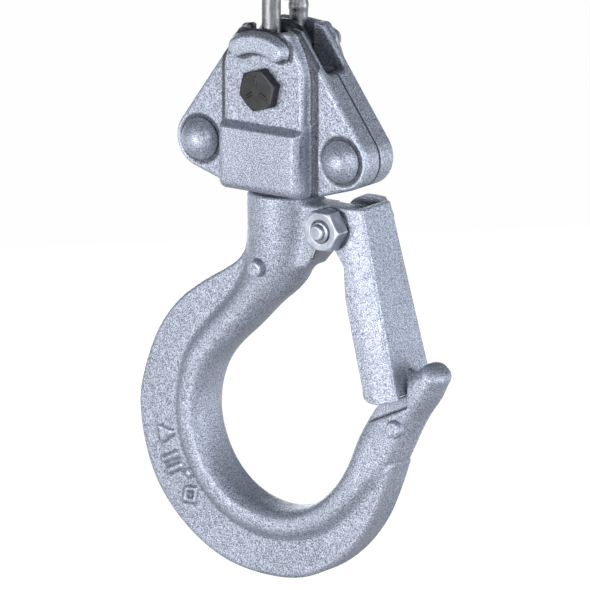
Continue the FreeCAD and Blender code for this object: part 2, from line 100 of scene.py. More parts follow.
def outline_distance(x, z, points):
    """Signed distance in the XZ plane to a closed polygon, negative inside."""
    points = np.asarray(points, float)
    nearest = np.full(np.broadcast(x, z).shape, 1e9)
    inside = np.zeros(nearest.shape, bool)
    for (x0, z0), (x1, z1) in zip(points, np.roll(points, -1, axis=0)):
        dx, dz = x1 - x0, z1 - z0
        along = np.clip(((x - x0) * dx + (z - z0) * dz) / max(dx * dx + dz * dz, 1e-12), 0, 1)
        nearest = np.minimum(nearest, (x - x0 - along * dx) ** 2 + (z - z0 - along * dz) ** 2)
        if z0 != z1:
            inside ^= ((z0 > z) != (z1 > z)) & (x < x0 + (z - z0) * dx / dz)
    return np.where(inside, -1, 1) * np.sqrt(nearest)


def prism(x, y, z, points, y0, y1, radius=0.4):
    """The polygon stretched from y0 to y1, its rims rounded."""
    return both(outline_distance(x, z, points), np.abs(y - (y0 + y1) / 2) - (y1 - y0) / 2, radius)


def rod(x, y, z, radius, y0, y1, centre=(0, 0), edge=0.3):
    """A round bar along Y, centred on an (x, z) place."""
    return both(length(x - centre[0], z - centre[1]) - radius,
                np.abs(y - (y0 + y1) / 2) - (y1 - y0) / 2, edge)


def ball(x, y, z, centre, radius):
    """Signed distance to a sphere."""
    return length(x - centre[0], y - centre[1], z - centre[2]) - radius


def arc(centre, radius, start, stop, steps=12):
    """Points on a circle in the XZ plane, angles in degrees from +X towards +Z."""
    return [(centre[0] + radius * cos(radians(a)), centre[1] + radius * sin(radians(a)))
            for a in np.linspace(start, stop, steps)]


def smooth_run(points, samples, softness=0.0):
    """A Catmull-Rom curve through rows of numbers, evenly sampled, optionally smoothed along it."""
    points = np.asarray(points, float)
    padded = np.vstack([2 * points[0] - points[1], points, 2 * points[-1] - points[-2]])
    t = np.linspace(0, len(points) - 1, samples * 4)
    k = np.minimum(t.astype(int), len(points) - 2)
    f = (t - k)[:, None]
    p0, p1, p2, p3 = (padded[k + i] for i in range(4))
    run = p1 + 0.5 * f * (p2 - p0 + f * (2 * p0 - 5 * p1 + 4 * p2 - p3
                                         + f * (3 * (p1 - p2) + p3 - p0)))
    step = np.r_[0, np.cumsum(np.linalg.norm(np.diff(run[:, :2], axis=0), axis=1))]
    even = np.linspace(0, step[-1], samples)
    run = np.column_stack([np.interp(even, step, column) for column in run.T])
    if softness:
        reach = int(3 * softness)
        weights = np.exp(-0.5 * (np.arange(-reach, reach + 1) / softness) ** 2)
        weights /= weights.sum()
        ends = np.vstack([2 * run[0] - run[reach:0:-1], run, 2 * run[-1] - run[-2:-reach - 2:-1]])
        run = np.column_stack([np.convolve(column, weights, "valid") for column in ends.T])
    return run


# ---------------------------------------------------------------- fields to meshes

def net(field, low, step):
    """Surface net of a field on a regular grid: one point in each cell that the surface crosses."""
    shape = np.array(field.shape)
    cells = shape - 1
    inside = field < 0
    places, counts, rings = np.zeros((cells.prod(), 3)), np.zeros(cells.prod()), []
    for axis in range(3):
        near = [slice(None)] * 3
        far = [slice(None)] * 3
        near[axis], far[axis] = slice(None, -1), slice(1, None)
        near, far = tuple(near), tuple(far)
        edge = np.argwhere(inside[near] != inside[far])
        a, b = field[near][tuple(edge.T)], field[far][tuple(edge.T)]
        crossing = edge.astype(float)
        crossing[:, axis] += a / (a - b)
        side, up = (axis + 1) % 3, (axis + 2) % 3
        ring = []
        for back_side, back_up in ((0, 0), (1, 0), (1, 1), (0, 1)):
            cell = edge.copy()
            cell[:, side] -= back_side
            cell[:, up] -= back_up
            ring.append(np.ravel_multi_index(tuple(cell.T), tuple(cells)))
        ring = np.column_stack(ring)
        flip = a > 0
        ring[flip] = ring[flip][:, ::-1]
        rings.append(ring)
        for column in ring.T:
            counts += np.bincount(column, minlength=len(counts))
            for d in range(3):
                places[:, d] += np.bincount(column, crossing[:, d], minlength=len(counts))
    used = np.flatnonzero(counts)
    renumber = np.zeros(len(counts), np.int64)
    renumber[used] = np.arange(len(used))
    points = places[used] / counts[used, None] * step + np.asarray(low, float)
    return points, renumber[np.vstack(rings)]


def relief(points, faces, step):
    """How far each point lies below its smoothed surroundings in mm: positive in a crevice."""
    start = faces.ravel()
    end = np.roll(faces, -1, axis=1).ravel()
    a, b = np.r_[start, end], np.r_[end, start]
    count = np.bincount(a, minlength=len(points))
    diagonals = [points[faces[:, k + 2]] - points[faces[:, k]] for k in range(2)]
    face_normals = np.cross(*diagonals)
    normals = np.column_stack([np.bincount(start, np.repeat(column, 4), minlength=len(points))
                               for column in face_normals.T])
    normals /= np.linalg.norm(normals, axis=1)[:, None] + 1e-12
    soft = points
    for _ in range(max(2, round((RELIEF_REACH / step) ** 2))):
        soft = np.column_stack([np.bincount(a, column[b], minlength=len(points)) / count
                                for column in soft.T])
    return ((soft - points) * normals).sum(axis=1)


def new_mesh(name, points, faces, hollow):
    """A smooth-shaded mesh object from points in pin-centred millimetres."""
    mesh = bpy.data.meshes.new(name)
    mesh.from_pydata([], [], [])
    mesh.vertices.add(len(points))
    mesh.vertices.foreach_set("co", (np.asarray(points) * MM + np.array(PIN)).ravel())
    mesh.loops.add(faces.size)
    mesh.loops.foreach_set("vertex_index", faces.ravel())
    mesh.polygons.add(len(faces))
    mesh.polygons.foreach_set("loop_start", np.arange(0, faces.size, faces.shape[1]))
    mesh.polygons.foreach_set("use_smooth", np.ones(len(faces), bool))
    mesh.update(calc_edges=True)
    mesh.validate()
    # The relief attribute carries the crevice depth plus the painted shade along joints; the materials
    # turn it into painted shade and highlights.
    mesh.attributes.new("relief", "FLOAT", "POINT").data.foreach_set("value", hollow)
    piece = bpy.data.objects.new(name, mesh)
    bpy.context.scene.collection.objects.link(piece)
    return piece


def mesh_piece(name, field, low, high, step, material, body, node, shade_lines=None):
    """Meshes a field in a box, and has it stand for a CAD node.

    The last argument gives the distance to the lines where another piece meets this one; painted shade is
    laid along them.
    """
    step *= DETAIL
    low = np.asarray(low, float) - 2.37 * step
    counts = np.ceil((np.asarray(high, float) - low) / step + 3).astype(int)
    x, y, z = (low[i] + step * np.arange(counts[i]) for i in range(3))
    values = field(x[:, None, None], y[None, :, None], z[None, None, :])
    points, faces = net(np.broadcast_to(values, tuple(counts)), low, step)
    hollow = relief(points, faces, step)
    # Painted shade: points near the listed joints count as deeper crevices, so the material darkens them.
    if shade_lines:
        hollow += PAINTED_SHADE_DEPTH * np.exp(-(shade_lines(*points.T) / PAINTED_SHADE_WIDTH) ** 2)
    piece = new_mesh(name, points, faces, hollow)
    piece.data.materials.append(material)
    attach(piece, body)
    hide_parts(node)
    return piece


# ---------------------------------------------------------------- materials

def node_material(name):
    """A fresh node material, with its node tree, its shader and its texture coordinates."""
    material = bpy.data.materials.new(name)
    material.use_nodes = True
    nodes, links = material.node_tree.nodes, material.node_tree.links
    shader = nodes["Principled BSDF"]
    place = nodes.new("ShaderNodeTexCoord")
    return material, nodes, links, shader, place


def noise(nodes, links, place, scale, detail=2.0, roughness=0.5):
    """Fractal noise in object space, from 0 to 1; the scale is in cells per metre."""
    texture = nodes.new("ShaderNodeTexNoise")
    texture.inputs["Scale"].default_value = scale
    texture.inputs["Detail"].default_value = detail
    texture.inputs["Roughness"].default_value = roughness
    links.new(place.outputs["Object"], texture.inputs["Vector"])
    return texture.outputs["Fac"]


def ramp(nodes, links, source, stops):
    """A colour ramp over rows of (position, colour)."""
    node = nodes.new("ShaderNodeValToRGB")
    elements = node.color_ramp.elements
    for element, (at, colour) in zip(elements, (stops[0], stops[-1])):
        element.position, element.color = at, (*colour, 1)
    for at, colour in stops[1:-1]:
        elements.new(at).color = (*colour, 1)
    links.new(source, node.inputs["Fac"])
    return node.outputs["Color"]


def mixed(nodes, links, fac, a, b, mode="MIX"):
    """Mixes two colours; each input is a number, a colour or another node's output."""
    node = nodes.new("ShaderNodeMix")
    node.data_type, node.blend_type = "RGBA", mode
    for socket, value in ((node.inputs[0], fac), (node.inputs[6], a), (node.inputs[7], b)):
        if isinstance(value, (int, float)):
            socket.default_value = value
        elif isinstance(value, tuple):
            socket.default_value = (*value, 1)
        else:
            links.new(value, socket)
    return node.outputs[2]


def bumped(nodes, links, shader, layers):
    """Stacks bump layers, each a (height source, strength, depth in metres)."""
    normal = None
    for source, strength, depth in layers:
        bump = nodes.new("ShaderNodeBump")
        bump.inputs["Strength"].default_value = strength
        bump.inputs["Distance"].default_value = depth
        links.new(source, bump.inputs["Height"])
        if normal is not None:
            links.new(normal, bump.inputs["Normal"])
        normal = bump.outputs["Normal"]
    links.new(normal, shader.inputs["Normal"])


def crevice_shade_ridge_highlight(nodes, links, colour, crevice, ridge):
    """Painted shade in crevices and painted highlights on ridges, read from the mesh's own relief."""
    height = nodes.new("ShaderNodeAttribute")
    height.attribute_name = "relief"
    spread = nodes.new("ShaderNodeMapRange")
    spread.inputs["From Min"].default_value = -0.25
    spread.inputs["From Max"].default_value = 0.25
    links.new(height.outputs["Fac"], spread.inputs["Value"])
    factor = ramp(nodes, links, spread.outputs["Result"],
                  [(0.22, (ridge,) * 3), (0.44, (1.0,) * 3), (0.56, (1.0,) * 3),
                   (0.82, (crevice,) * 3)])
    return mixed(nodes, links, 1.0, colour, factor, "MULTIPLY")


def silver_paint(name, grain, base=(0.36, 0.395, 0.48)):
    """Silver-grey paint over a cast or forged skin: speckled grain, painted shade in crevices and painted
    highlights on ridges.
    """
    material, nodes, links, shader, place = node_material(name)
    fine = noise(nodes, links, place, 3000, 1.5, 0.6)
    coarse = noise(nodes, links, place, 700, 3.0, 0.6)
    blotch = noise(nodes, links, place, 55, 3.0, 0.5)
    dark = tuple(0.5 * c for c in base)
    light = tuple(min(1.0, 1.6 * c) for c in base)
    colour = ramp(nodes, links, fine, [(0.36, dark), (0.49, base), (0.64, light)])
    shade = ramp(nodes, links, blotch, [(0.3, (0.86, 0.86, 0.86)), (0.7, (1.0, 1.0, 1.0))])
    colour = mixed(nodes, links, 1.0, colour, shade, "MULTIPLY")
    # Painted shade darkens crevices and a painted highlight lightens ridges.
    links.new(crevice_shade_ridge_highlight(nodes, links, colour, 0.22, 1.3), shader.inputs["Base Color"])
    shader.inputs["Metallic"].default_value = 0.5
    rough = ramp(nodes, links, coarse, [(0.3, (0.36,) * 3), (0.7, (0.52,) * 3)])
    links.new(rough, shader.inputs["Roughness"])
    bumped(nodes, links, shader, [(coarse, 0.6 * grain, 0.0003), (fine, 0.7 * grain, 0.00015)])
    return material


def bare_metal(name, base, roughness, metallic=1.0, grain=0.3):
    """Plated or oxidised steel with faint scratches and finger-dull patches; crevices get painted shade
    and ridges painted highlights.
    """
    material, nodes, links, shader, place = node_material(name)
    fine = noise(nodes, links, place, 1800, 3.0, 0.6)
    blotch = noise(nodes, links, place, 260, 3.0, 0.6)
    low, high = tuple(0.7 * c for c in base), tuple(min(1.0, 1.3 * c) for c in base)
    colour = ramp(nodes, links, blotch, [(0.3, low), (0.7, high)])
    # Painted shade darkens crevices and a painted highlight lightens ridges.
    links.new(crevice_shade_ridge_highlight(nodes, links, colour, 0.3, 1.5), shader.inputs["Base Color"])
    spread = (max(0.05, roughness - 0.1), min(1.0, roughness + 0.12))
    rough = ramp(nodes, links, fine, [(0.3, (spread[0],) * 3), (0.7, (spread[1],) * 3)])
    links.new(rough, shader.inputs["Roughness"])
    shader.inputs["Metallic"].default_value = metallic
    bumped(nodes, links, shader, [(blotch, 0.25 * grain, 0.0002), (fine, 0.5 * grain, 0.00008)])
    return material


CAST = silver_paint("cast_silver_paint", 1.0)
RIVET = silver_paint("rivet_silver_paint", 0.6)
PRESSED = silver_paint("latch_silver_paint", 0.7)
BLACK = bare_metal("black_oxide", (0.035, 0.036, 0.037), 0.42, 0.6, 0.8)
CHAIN = bare_metal("chain_zinc", (0.2, 0.205, 0.22), 0.36, 1.0, 1.4)
ZINC = bare_metal("zinc_plate", (0.36, 0.39, 0.45), 0.42, 0.8, 0.9)
BEARING = bare_metal("bearing_steel", (0.55, 0.55, 0.56), 0.2, 1.0, 0.2)
SPRING = bare_metal("spring_wire", (0.4, 0.42, 0.45), 0.3, 1.0, 0.4)
BRASS = bare_metal("cage_brass", (0.6, 0.45, 0.2), 0.35, 1.0, 0.4)


# ---------------------------------------------------------------- yoke halves

RIVET_AT = (22.6, -16.9)
CORNER_R = 8.0
YOKE_TOP, YOKE_BOTTOM = 15.6, -27.8
PANEL_X, PANEL_Y = 12.8, 9.8
BOSS_X, BOSS_Y, BOSS_TOP = 13.1, 12.7, -9.7
WING_Y, SLOT_Y = 6.5, 4.2
SLOT_CORNER = (14.6, 4.6)
SWING_R = 12.0
POCKET_R, POCKET_X = 9.0, 6.0
CAVITY_R, NECK_R, BOLT_HOLE_R = 9.5, 5.5, 3.1
SPOTFACE_R, RIVET_HOLE_R = 6.65, 3.25
RIVET_R, DOME_BASE_R, DOME_HEIGHT, DOME_FOOT = 3.2, 5.75, 4.5, 6.2
DRAFT = 0.06
PARTING = 0.03


def wing_points():
    """A yoke half from the front: flat top, slanted flanks, a corner round each rivet."""
    flank_slope, base_slope = 0.582 / 0.813, 0.3057
    right = arc(RIVET_AT, CORNER_R, 35.6, -73, 14)
    top = (right[0][0] - (YOKE_TOP - right[0][1]) * flank_slope, YOKE_TOP)
    base = (right[-1][0] - (right[-1][1] - YOKE_BOTTOM) / base_slope, YOKE_BOTTOM)
    half = [top, *right, base]
    return half + [(-px, pz) for px, pz in reversed(half)]


def eyebrow_side(x, depth, z):
    """Distance past the rim of the arched bar over the bolt head; it flares towards the panel."""
    bend_r, half_angle, half_width = 13.0, radians(28), 2.3
    centre_x, centre_z = -0.7, 12.1 - bend_r
    sweep = np.arctan2(x - centre_x, z - centre_z)
    held = np.clip(sweep, -half_angle, half_angle)
    off = length(x - centre_x - bend_r * np.sin(held), z - centre_z - bend_r * np.cos(held))
    above = length(x - centre_x, z - centre_z) > bend_r
    return off - half_width - np.where(above, 0.42, 0.05) * np.maximum(BOSS_Y - depth, 0)


def eyebrow(x, depth, z):
    """The arched bar itself, as deep as the boss and let into the panel."""
    return both(both(eyebrow_side(x, depth, z), depth - BOSS_Y, 0.7), PANEL_Y - 2 - depth)


def hollows(x, depth, z):
    """What is cut from a yoke half: side slots, link pocket, bearing cavity, neck and bolt holes."""
    right = [(24.0, 30.0), (24.0, SLOT_CORNER[1]), SLOT_CORNER, (12.6, 1.0), (11.6, -4.6)]
    left = [(-px, pz) for px, pz in reversed(right)]
    slot = both(outline_distance(x, z, left + right), depth - SLOT_Y, 1.8)
    swing = both(both(length(x, z) - SWING_R, depth - SLOT_Y), -z - 9.5)
    pocket = both(length(depth, np.minimum(z - 15.45, 0)) - POCKET_R, np.abs(x) - POCKET_X, 1.8)
    cavity = both(length(x, depth) - CAVITY_R, np.abs(z + 16.3) - 6.7)
    neck = both(length(x, depth) - NECK_R, z + 20)
    hole = length(x, z) - BOLT_HOLE_R
    return either(either(either(slot, swing), pocket), either(either(cavity, neck), hole))


def yoke_half(side):
    """side is -1 for the front half and 1 for the rear one, the same casting turned round."""

    def field(x, y, z):
        depth = y * side
        across = -x * side
        wing = both(outline_distance(across, z, wing_points()), depth - WING_Y, 1.2)
        draft = (depth - WING_Y) * DRAFT
        middle = np.abs(across)
        crown = ((z - 6.6) * 0.55 + middle - PANEL_X) * 0.88
        panel = both(both(middle - PANEL_X + draft, crown, 1.5), depth - PANEL_Y, 0.9)
        panel = both(panel, np.maximum(z - YOKE_TOP, YOKE_BOTTOM - z), 0.9)
        body = either(wing, panel, 1.4)
        body = either(body, eyebrow(across, depth, z), 0.3)
        chamfer = (z - BOSS_TOP) * 0.92 + (depth - PANEL_Y) * 0.39
        boss = both(both(middle - BOSS_X + draft, depth - BOSS_Y, 2.0), chamfer, 0.3)
        boss = both(boss, YOKE_BOTTOM - z + np.maximum(depth - PANEL_Y, 0) * 0.3, 1.8)
        body = either(body, boss, 0.5)
        body = both(body, PARTING - depth, 0.7)
        body = less(body, hollows(across, depth, z), 0.6)
        for x_rivet in (-RIVET_AT[0], RIVET_AT[0]):
            reach = length(across - x_rivet, z - RIVET_AT[1])
            spot = both(reach - SPOTFACE_R, WING_Y - 0.35 - depth)
            body = less(body, both(spot, BOSS_X + 0.1 - middle), 0.15)
            body = less(body, reach - RIVET_HOLE_R)
        return body

    return field


def rivet(x_rivet):
    """A rivet through both wings with a round head on each side."""

    def field(x, y, z):
        dome_r = (DOME_BASE_R ** 2 + DOME_HEIGHT ** 2) / (2 * DOME_HEIGHT)
        depth = np.abs(y)
        dome = ball(x, depth, z, (x_rivet, DOME_FOOT + DOME_HEIGHT - dome_r, RIVET_AT[1]), dome_r)
        dome = both(dome, 6.18 - depth, 0.25)
        return either(dome, rod(x, y, z, RIVET_R, -6.3, 6.3, (x_rivet, RIVET_AT[1])))

    return field


def yoke_painted_shade(x, y, z):
    """Distance to where painted shade goes: the parting plane, rivet rims, eyebrow foot and a strip of
    wing beside the panel as painted shadow; the slots get painted shade all over.
    """
    depth, across = np.abs(y), x * np.where(y < 0, 1, -1)
    rivets = np.abs(length(np.abs(x) - RIVET_AT[0], z - RIVET_AT[1]) - 5.9)
    brow = np.abs(eyebrow_side(across, depth, z)) * 0.5
    beside_panel = np.maximum(np.abs(x) - PANEL_X - 2.2, 0.25)
    near = np.minimum(depth, np.where(np.abs(depth - WING_Y + 0.3) < 0.6,
                                      np.minimum(rivets, beside_panel), 9))
    near = np.minimum(near, np.where(np.abs(depth - PANEL_Y) < 0.5, brow, 9))
    return np.minimum(near, np.where((depth < SLOT_Y + 0.2) & (z > 4.8), 0.5, 9))


def rivet_painted_shade(x, y, z):
    """Painted shade where a rivet's head meets the wing."""
    return np.abs(y) - WING_Y + 0.3


for side, which in ((-1, "front"), (1, "rear")):
    low_y, high_y = (-14, 0) if side < 0 else (0, 14)
    mesh_piece(f"yoke_{which}_casting", yoke_half(side), (-31, low_y, -28), (31, high_y, 16), 0.33,
               CAST, "yoke", f"yoke_{which}", yoke_painted_shade)
for sign, which in ((-1, "left"), (1, "right")):
    x_rivet = sign * RIVET_AT[0]
    mesh_piece(f"rivet_{which}_head", rivet(x_rivet), (x_rivet - 6.2, -11, -22.9),
               (x_rivet + 6.2, 11, -10.3), 0.25, RIVET, "yoke", f"rivet_{which}",
               rivet_painted_shade)


# ---------------------------------------------------------------- hook

SHANK_TOP = -28.8
RIB = [
    ((9.9, -26.0), (-9.9, -26.0), 9.9, 2.0),
    ((9.9, -35.0), (-9.9, -35.0), 9.7, 2.0),
    ((9.4, -42.0), (-10.0, -40.5), 9.2, 2.0),
    ((7.2, -49.6), (-10.4, -46.8), 8.7, 2.1),
    ((2.6, -54.8), (-10.6, -50.6), 8.1, 2.3),
    ((-3.3, -60.5), (-12.0, -54.8), 7.8, 2.5),
    ((-9.4, -66.7), (-17.3, -61.2), 7.5, 2.7),
    ((-16.4, -73.0), (-23.6, -68.2), 7.3, 2.9),
    ((-21.2, -79.4), (-28.6, -75.4), 7.2, 3.0),
    ((-23.8, -87.5), (-31.3, -86.4), 7.2, 3.0),
    ((-23.3, -96.0), (-30.6, -98.2), 7.2, 3.0),
    ((-19.0, -105.0), (-24.8, -110.0), 7.2, 3.0),
    ((-11.0, -111.6), (-14.4, -118.6), 7.2, 3.0),
    ((0.0, -114.0), (0.6, -121.8), 7.2, 3.0),
    ((10.8, -111.3), (14.8, -118.2), 7.1, 3.0),
    ((18.6, -105.1), (25.2, -110.4), 6.9, 3.0),
    ((22.8, -98.5), (32.2, -102.4), 6.5, 3.0),
    ((25.2, -91.9), (38.2, -95.6), 5.9, 3.0),
    ((29.2, -85.6), (42.0, -87.8), 5.6, 3.0),
    ((34.0, -79.7), (45.6, -81.0), 5.5, 3.0),
    ((39.4, -74.9), (49.2, -76.9), 5.4, 2.8),
    ((42.2, -72.5), (50.6, -74.8), 5.2, 2.6),
    ((44.4, -70.6), (51.4, -73.0), 4.9, 2.4),
]
NOSE = 3.4
OUTER = [
    (-7.0, -38.0), (-9.0, -43.2), (-10.9, -47.2), (-14.6, -50.3), (-23.8, -56.0), (-31.6, -62.1),
    (-38.2, -71.0), (-42.8, -82.9), (-44.1, -92.1), (-41.9, -104.2), (-36.9, -114.6),
    (-27.5, -124.0), (-15.4, -130.3), (-0.9, -132.2), (11.1, -130.3), (21.9, -123.6), (30.0, -114.2),
    (34.6, -104.7), (37.5, -96.6),
]
FLANGE_Y = 4.8
LUG_Y, EAR_Y, EAR_R, LUG_HOLE_R = 5.0, 2.7, 4.4, 3.33
RECESS_Y = 4.0
GAUGE_R, GAUGES = 2.1, (((-2.2, -48.2), -11.1, -6.0), ((39.4, -85.9), -7.5, -3.0))
LEDGE = [(28.0, -83.4), (34.6, -79.8), (41.9, -76.75)]


def rib_run():
    """Rows of centre x, centre z, reach x, reach z, half thickness and squareness down the rib."""
    rows = [((a[0] + b[0]) / 2, (a[1] + b[1]) / 2, (a[0] - b[0]) / 2, (a[1] - b[1]) / 2, t, p)
            for a, b, t, p in RIB]
    return smooth_run(rows, 360, 4.0)


def rib_field(x, y, z, run):
    """Distance to the rib: superellipse sections about the nearest place on its centreline."""
    shape = np.broadcast(x, z).shape
    px, pz = (np.broadcast_to(v, shape).ravel() for v in (x, z))
    nearest = np.empty(px.size, int)
    for part in np.array_split(np.arange(px.size), 60):
        gap = (px[part, None] - run[None, :, 0]) ** 2 + (pz[part, None] - run[None, :, 1]) ** 2
        nearest[part] = gap.argmin(axis=1)
    tangent = np.gradient(run[:, :2], axis=0)
    tangent /= np.linalg.norm(tangent, axis=1)[:, None]
    here, way = run[nearest], tangent[nearest]
    ahead = (px - here[:, 0]) * way[:, 0] + (pz - here[:, 1]) * way[:, 1]
    across = (px - here[:, 0]) * way[:, 1] - (pz - here[:, 1]) * way[:, 0]
    reach = np.hypot(here[:, 2], here[:, 3])
    ahead, across, reach, thick, power = (
        v.reshape(shape) for v in (ahead, across, reach, here[:, 4], here[:, 5]))
    at_nose = (nearest == len(run) - 1).reshape(shape)
    a, b = np.abs(across) / reach, np.abs(y) / thick
    c = np.where(at_nose, np.maximum(ahead, 0) / NOSE, 0)
    size = (a ** power + b ** power + c ** power) ** (1 / power) + 1e-9
    slope = length((a / size) ** (power - 1) / reach, (b / size) ** (power - 1) / thick,
                   (c / size) ** (power - 1) / NOSE)
    return (size - 1) / slope


def latch_lug(x, y, z):
    """The ear on the shank that carries the latch bolt, thinned at its end for the spring."""
    root_points = [(2.0, -30.3), (14.6, -30.3), (16.6, -34.0), (15.8, -40.6), (10.0, -47.4),
                   (0.0, -51.0)]
    root = prism(x, y, z, root_points, -LUG_Y, LUG_Y, 1.2)
    root = less(root, both(length(x - PIVOT.x, z - PIVOT.z) - 5.0, EAR_Y - np.abs(y)), 0.3)
    web_points = [(10.0, -30.1), (PIVOT.x, PIVOT.z + EAR_R), (PIVOT.x, PIVOT.z - EAR_R),
                  (10.0, -44.0)]
    ear = either(rod(x, y, z, EAR_R, -EAR_Y, EAR_Y, (PIVOT.x, PIVOT.z)),
                 prism(x, y, z, web_points, -EAR_Y, EAR_Y))
    return either(root, ear, 0.4)


def hook(x, y, z):
    """The forging: shank and rib, flange, latch lug, ledge, gauge bosses and marks."""
    run = rib_run()
    body = both(rib_field(x, y, z, run), z - SHANK_TOP, 0.8)
    outer = smooth_run([(*p, 0) for p in OUTER], 200, 2.0)[:, :2]
    first, last = 40, 290
    inner = run[first:last, :2][::-1]
    outline = outline_distance(x, z, np.vstack([outer, inner])) - 0.1
    body = either(body, both(outline, np.abs(y) - FLANGE_Y, 1.1), 1.0)
    body = either(body, latch_lug(x, y, z), 1.4)
    body = less(body, length(x - PIVOT.x, z - PIVOT.z) - LUG_HOLE_R, 0.2)

    ledge = outline_distance(x, z, [(LEDGE[0][0], -60.0), *LEDGE, (LEDGE[-1][0], -60.0)])
    body = less(body, ledge, 0.5)
    recess = outline_distance(x, z, [(28.0, -86.9), (42.8, -80.0), (42.8, -70.0), (28.0, -70.0)])
    body = less(body, both(recess, RECESS_Y - np.abs(y), 0.3), 0.3)
    for where, face, root in GAUGES:
        body = either(body, rod(x, y, z, GAUGE_R, face, root, where, 0.3), 0.15)
    return either(body, marks(x, y, z), 0.3)


def marks(x, y, z):
    """Plain raised marks on the flange: a triangle, two bars, a pip and a lozenge frame."""

    def from_middle(cx, cz):
        """Places about a mark's middle: towards the bowl's centre, and along the flange."""
        inward = np.array([-1.0 - cx, -90.5 - cz])
        inward /= np.hypot(*inward)
        return ((x - cx) * inward[0] + (z - cz) * inward[1],
                np.abs((x - cx) * inward[1] - (z - cz) * inward[0]))

    u, v = from_middle(-34.9, -98.4)
    triangle = np.maximum(-u - 2.4, 0.9 * v + 0.434 * (u - 3.0))
    u, v = from_middle(-32.9, -106.1)
    bars = np.maximum(np.abs(u) - 3.0, np.abs(v - 1.6) - 0.7)
    u, v = from_middle(-27.1, -114.0)
    lozenge = (np.abs(u) / 3.4 + v / 2.6 - 1) * 2.06
    frame_only = np.maximum(lozenge, -lozenge - 1.0)
    pip = length(x + 27.8, z + 108.3) - 1.0
    shapes = np.minimum(np.minimum(triangle, bars), np.minimum(frame_only, pip))
    return both(both(shapes, -y - FLANGE_Y - 0.7, 0.3), y + FLANGE_Y - 1.0)


mesh_piece("hook_forging", hook, (-44.6, -11.4, -132.7), (53.4, 10.2, -28.5), 0.4, CAST, "hook",
           "hook_body")


# ---------------------------------------------------------------- latch

WEB_TOP, WEB_FOOT = (29.5, -29.8), (42.0, -78.2)
SHEET = 1.8
CHEEK_Y, CHEEK_FLARE = 8.2, 0.038
LATCH_EYE_R, LATCH_HOLE_R = 5.6, 2.96
NOTCH_HALF, NOTCH_TOP = 1.8, -72.6


def web_side(x, z):
    """Distance past the outer face of the web."""
    run = np.array(WEB_FOOT) - np.array(WEB_TOP)
    run /= np.hypot(*run)
    return (x - WEB_TOP[0]) * -run[1] + (z - WEB_TOP[1]) * run[0]


def cheek_side(depth, z):
    """Distance past the outside of a cheek, which flares towards the foot."""
    return depth - CHEEK_Y - CHEEK_FLARE * (PIVOT.z - z)


def latch(x, y, z):
    """A U-shaped pressing that widens towards its foot, its web away from the throat."""
    web = web_side(x, z)
    depth = np.abs(y)
    side = cheek_side(depth, z)
    rim = [*arc((PIVOT.x, PIVOT.z), LATCH_EYE_R, 90, 270, 16), (21.7, -40.1), (24.8, -44.0), (25.6, -52.5),
           (28.4, -63.3), (31.8, -75.8), *arc((34.6, -76.3), 2.8, 190, 262, 6), (36.4, -79.2),
           (60.0, -73.2), (60.0, -28.9)]
    facet = 0.287 * web + 0.958 * side + 1.44
    bent = both(both(web, side, 0.6), facet, 0.5)
    channel = less(both(outline_distance(x, z, rim), bent, 0.3), bent + SHEET, 0.3)
    above = z - NOTCH_TOP
    notch = np.minimum(both(depth - NOTCH_HALF, above), length(y, above) - NOTCH_HALF)
    channel = less(channel, both(notch, 30.0 - x), 0.3)
    (rest_x, rest_z), (toe_x, toe_z) = LEDGE[1:]
    gap = 0.1
    over_ledge = outline_distance(x, z, [(rest_x, -90.0), (rest_x, rest_z + gap), (toe_x, toe_z + gap),
                                         (toe_x + 1.5, toe_z + gap), (toe_x + 1.5, -90.0)])
    channel = less(channel, both(over_ledge, depth - 6.4), 0.3)
    return less(channel, length(x - PIVOT.x, z - PIVOT.z) - LATCH_HOLE_R, 0.15)


def latch_painted_shade(x, y, z):
    """Painted shade round the nut and the bolt's head, and over the inside of the channel."""
    round_nut = np.abs(length(x - PIVOT.x, z - PIVOT.z) - 5.5)
    side = cheek_side(np.abs(y), z)
    inside = (side < 0.2 - SHEET) & (web_side(x, z) < 0.3 - SHEET)
    return np.minimum(np.where(side > -0.3, round_nut, 9), np.where(inside, 0.45, 9))


mesh_piece("latch_pressing", latch, (14.5, -10.1, -79.6), (42.6, 10.1, -28.5), 0.27, PRESSED, "latch",
           "latch", latch_painted_shade)


# ---------------------------------------------------------------- fasteners

THREAD_PITCH = 1.0
THREAD_DEPTH = 0.45 * THREAD_PITCH * 0.9
BOLT_R, LATCH_BOLT_R = 2.95, 2.9


def hexagon(x, z, across_flats, turn):
    """Distance in XZ to a hexagon, its corners turned from +Z by the angle."""
    angle = np.arctan2(x, z) - radians(turn) - pi / 6
    sector = np.round(angle / (pi / 3)) * (pi / 3)
    return length(x, z) * np.cos(angle - sector) - across_flats / 2


def hex_piece(x, y, z, centre, turn, near, far, af=10.0):
    """A hexagon from near to far, measured away from the block; its far end is chamfered."""
    dx, dz = x - centre[0], z - centre[1]
    sides = hexagon(dx, dz, af, turn)
    reach = length(dx, dz)
    cone = (reach - af / 2 * 0.98) * 0.42 + (y - far) * 0.9
    return both(both(sides, np.maximum(y - far, near - y), 0.15), cone, 0.1)


def thread(x, y, z, centre, radius):
    """Distance to a helical thread, positive in its grooves."""
    dx, dz = x - centre[0], z - centre[1]
    turns = np.arctan2(dz, dx) / (2 * pi) + y / THREAD_PITCH
    groove = np.abs(turns - np.round(turns)) * 2
    return length(dx, dz) - radius + (1 - groove) * THREAD_DEPTH


